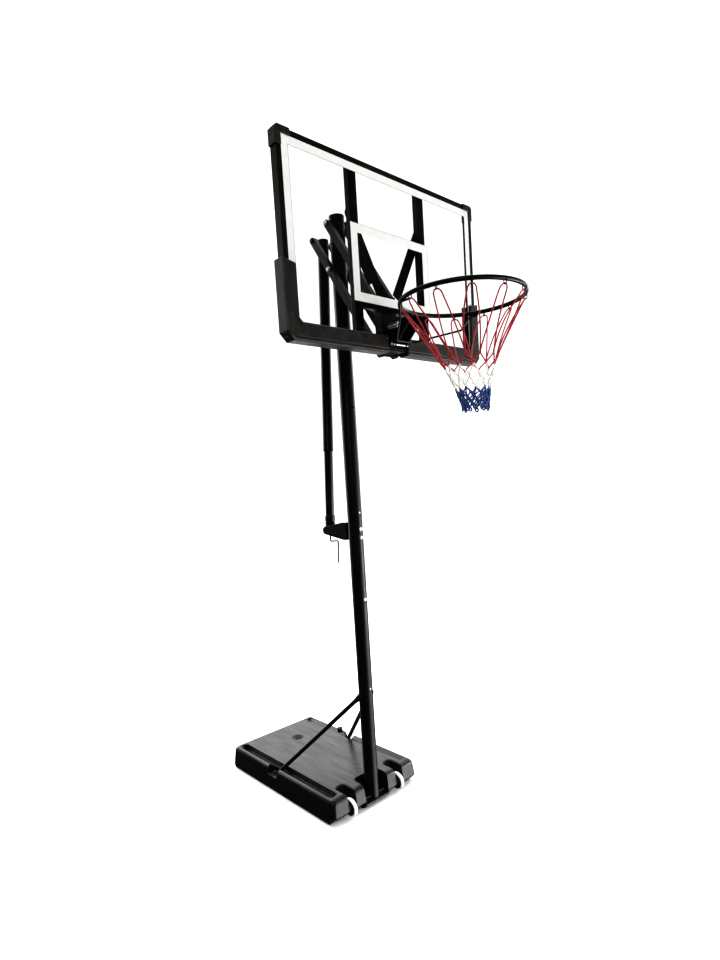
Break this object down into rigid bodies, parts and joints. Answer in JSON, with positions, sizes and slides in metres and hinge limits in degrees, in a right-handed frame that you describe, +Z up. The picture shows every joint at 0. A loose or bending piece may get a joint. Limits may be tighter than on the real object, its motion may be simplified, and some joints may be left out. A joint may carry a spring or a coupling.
{
  "type": "portable basketball stand",
  "caption": "Portable basketball stand: weighted base on wheels, braced pole, crank-raised parallel arms, clear framed backboard and sprung breakaway rim with net",
  "frame": {"origin": "on the floor under the pole's axis, at the flat underside of the base", "axes": "+Z up along the pole; -Y points from the pole to the court; X runs along the backboard's width"},
  "size_m": [1.144, 1.762, 2.836],
  "materials": {
    "base_plastic": "black moulded polyethylene",
    "cap_plastic": "black moulded plastic",
    "pad_plastic": "satin black moulded padding",
    "black_steel": "black powder coat",
    "zinc_steel": "zinc plated",
    "spring_steel": "bright plated spring wire",
    "clear_panel": "clear polycarbonate sheet with a printed white border",
    "wheel_plastic": "moulded wheel",
    "net_cord": "braided cord in red, white and blue bands"
  },
  "bodies": {
    "stand": {"base": "base_plastic", "base_fill_cap": "cap_plastic", "wheel_axle": "zinc_steel", "axle_push_nut": "zinc_steel", "pole_bottom": "black_steel", "pole_middle": "black_steel", "pole_top": "black_steel", "pole_cap": "cap_plastic", "pole_bolt_lower": "zinc_steel", "pole_bolt_upper": "zinc_steel", "pole_brace_near": "black_steel", "pole_brace_far": "black_steel", "brace_pole_bolt": "zinc_steel", "brace_screw_near": "zinc_steel", "brace_screw_far": "zinc_steel", "jack_bracket": "black_steel", "bracket_bolt_lower": "zinc_steel", "bracket_bolt_upper": "zinc_steel", "pole_pivot_bolt_lower": "zinc_steel", "pole_pivot_bolt_upper": "zinc_steel"},
    "near_wheel": {"wheel_near": "wheel_plastic"},
    "far_wheel": {"wheel_far": "wheel_plastic"},
    "upper_arms": {"upper_arm_near": "black_steel", "upper_arm_far": "black_steel"},
    "lower_arms": {"lower_arm_near": "black_steel", "lower_arm_far": "black_steel"},
    "backboard": {"board_rail_top": "black_steel", "board_rail_bottom": "black_steel", "board_rail_near": "black_steel", "board_rail_far": "black_steel", "board_panel": "clear_panel", "board_post_near": "black_steel", "board_post_far": "black_steel", "board_crossbar": "black_steel", "bracket_leg_near": "black_steel", "bracket_leg_far": "black_steel", "arm_channel": "black_steel", "board_pivot_bolt_lower": "zinc_steel", "board_pivot_bolt_upper": "zinc_steel", "corner_cap_near": "cap_plastic", "corner_cap_far": "cap_plastic", "corner_pad_near": "pad_plastic", "corner_pad_far": "pad_plastic", "rim_mount_plate": "black_steel", "rim_hinge_pin": "zinc_steel", "spring_bolt_near": "zinc_steel", "spring_bolt_far": "zinc_steel", "spring_near": "spring_steel", "spring_far": "spring_steel"},
    "rim": {"rim_carrier": "black_steel", "rim_ring": "black_steel", "ring_brace": "black_steel", "net": "net_cord"},
    "jack_foot": {"jack_foot_tube": "black_steel"},
    "jack_head": {"jack_upper_tube": "black_steel", "jack_head_pin": "zinc_steel", "jack_push_tube": "zinc_steel"},
    "crank": {"jack_screw_and_crank": "zinc_steel"}
  },
  "joints": [
    {"name": "lift", "type": "hinge", "parent": "stand", "child": "upper_arms", "pos_m": [0, 0, 2.732], "axis": [-1, 0, 0], "range_deg": [0, 111.2]},
    {"name": "lower_arm_pivot", "type": "hinge", "parent": "stand", "child": "lower_arms", "pos_m": [0, 0, 2.532], "axis": [-1, 0, 0], "range_deg": [0, 111.25]},
    {"name": "board_pivot", "type": "hinge", "parent": "upper_arms", "child": "backboard", "pos_m": [0, -0.27, 2.322], "axis": [-1, 0, 0], "range_deg": [-111.25, 0]},
    {"name": "breakaway", "type": "hinge", "parent": "backboard", "child": "rim", "pos_m": [0, -0.3503, 2.135], "axis": [1, 0, 0], "range_deg": [0, 28], "stiffness_Nm_per_rad": 300, "springref_deg": -20.05, "deforming": ["spring_near", "spring_far"]},
    {"name": "jack_tilt", "type": "hinge", "parent": "stand", "child": "jack_foot", "pos_m": [0, 0.187, 1.345], "axis": [1, 0, 0], "range_deg": [0, 0.78]},
    {"name": "jack_stroke", "type": "slide", "parent": "jack_foot", "child": "jack_head", "axis": [0, 0.0625, -0.998], "range_m": [0, 0.3085]},
    {"name": "crank_turn", "type": "hinge", "parent": "jack_foot", "child": "crank", "pos_m": [0, 0.187, 1.345], "axis": [0, -0.0625, 0.998], "range_deg": [0, 8900]},
    {"name": "near_wheel_roll", "type": "hinge", "parent": "stand", "child": "near_wheel", "pos_m": [-0.16, -0.018, 0.046], "axis": [1, 0, 0], "continuous": true},
    {"name": "far_wheel_roll", "type": "hinge", "parent": "stand", "child": "far_wheel", "pos_m": [0.16, -0.018, 0.046], "axis": [1, 0, 0], "continuous": true}
  ],
  "couplings": [
    {"joint": "lower_arm_pivot", "follows": "lift", "ratio": 1},
    {"joint": "board_pivot", "follows": "lift", "ratio": -1},
    {"joint": "jack_tilt", "follows": "lift", "ratio": 0.006824},
    {"joint": "jack_stroke", "follows": "lift", "m_per_rad": 0.1588},
    {"joint": "crank_turn", "follows": "lift", "ratio": 80}
  ]
}
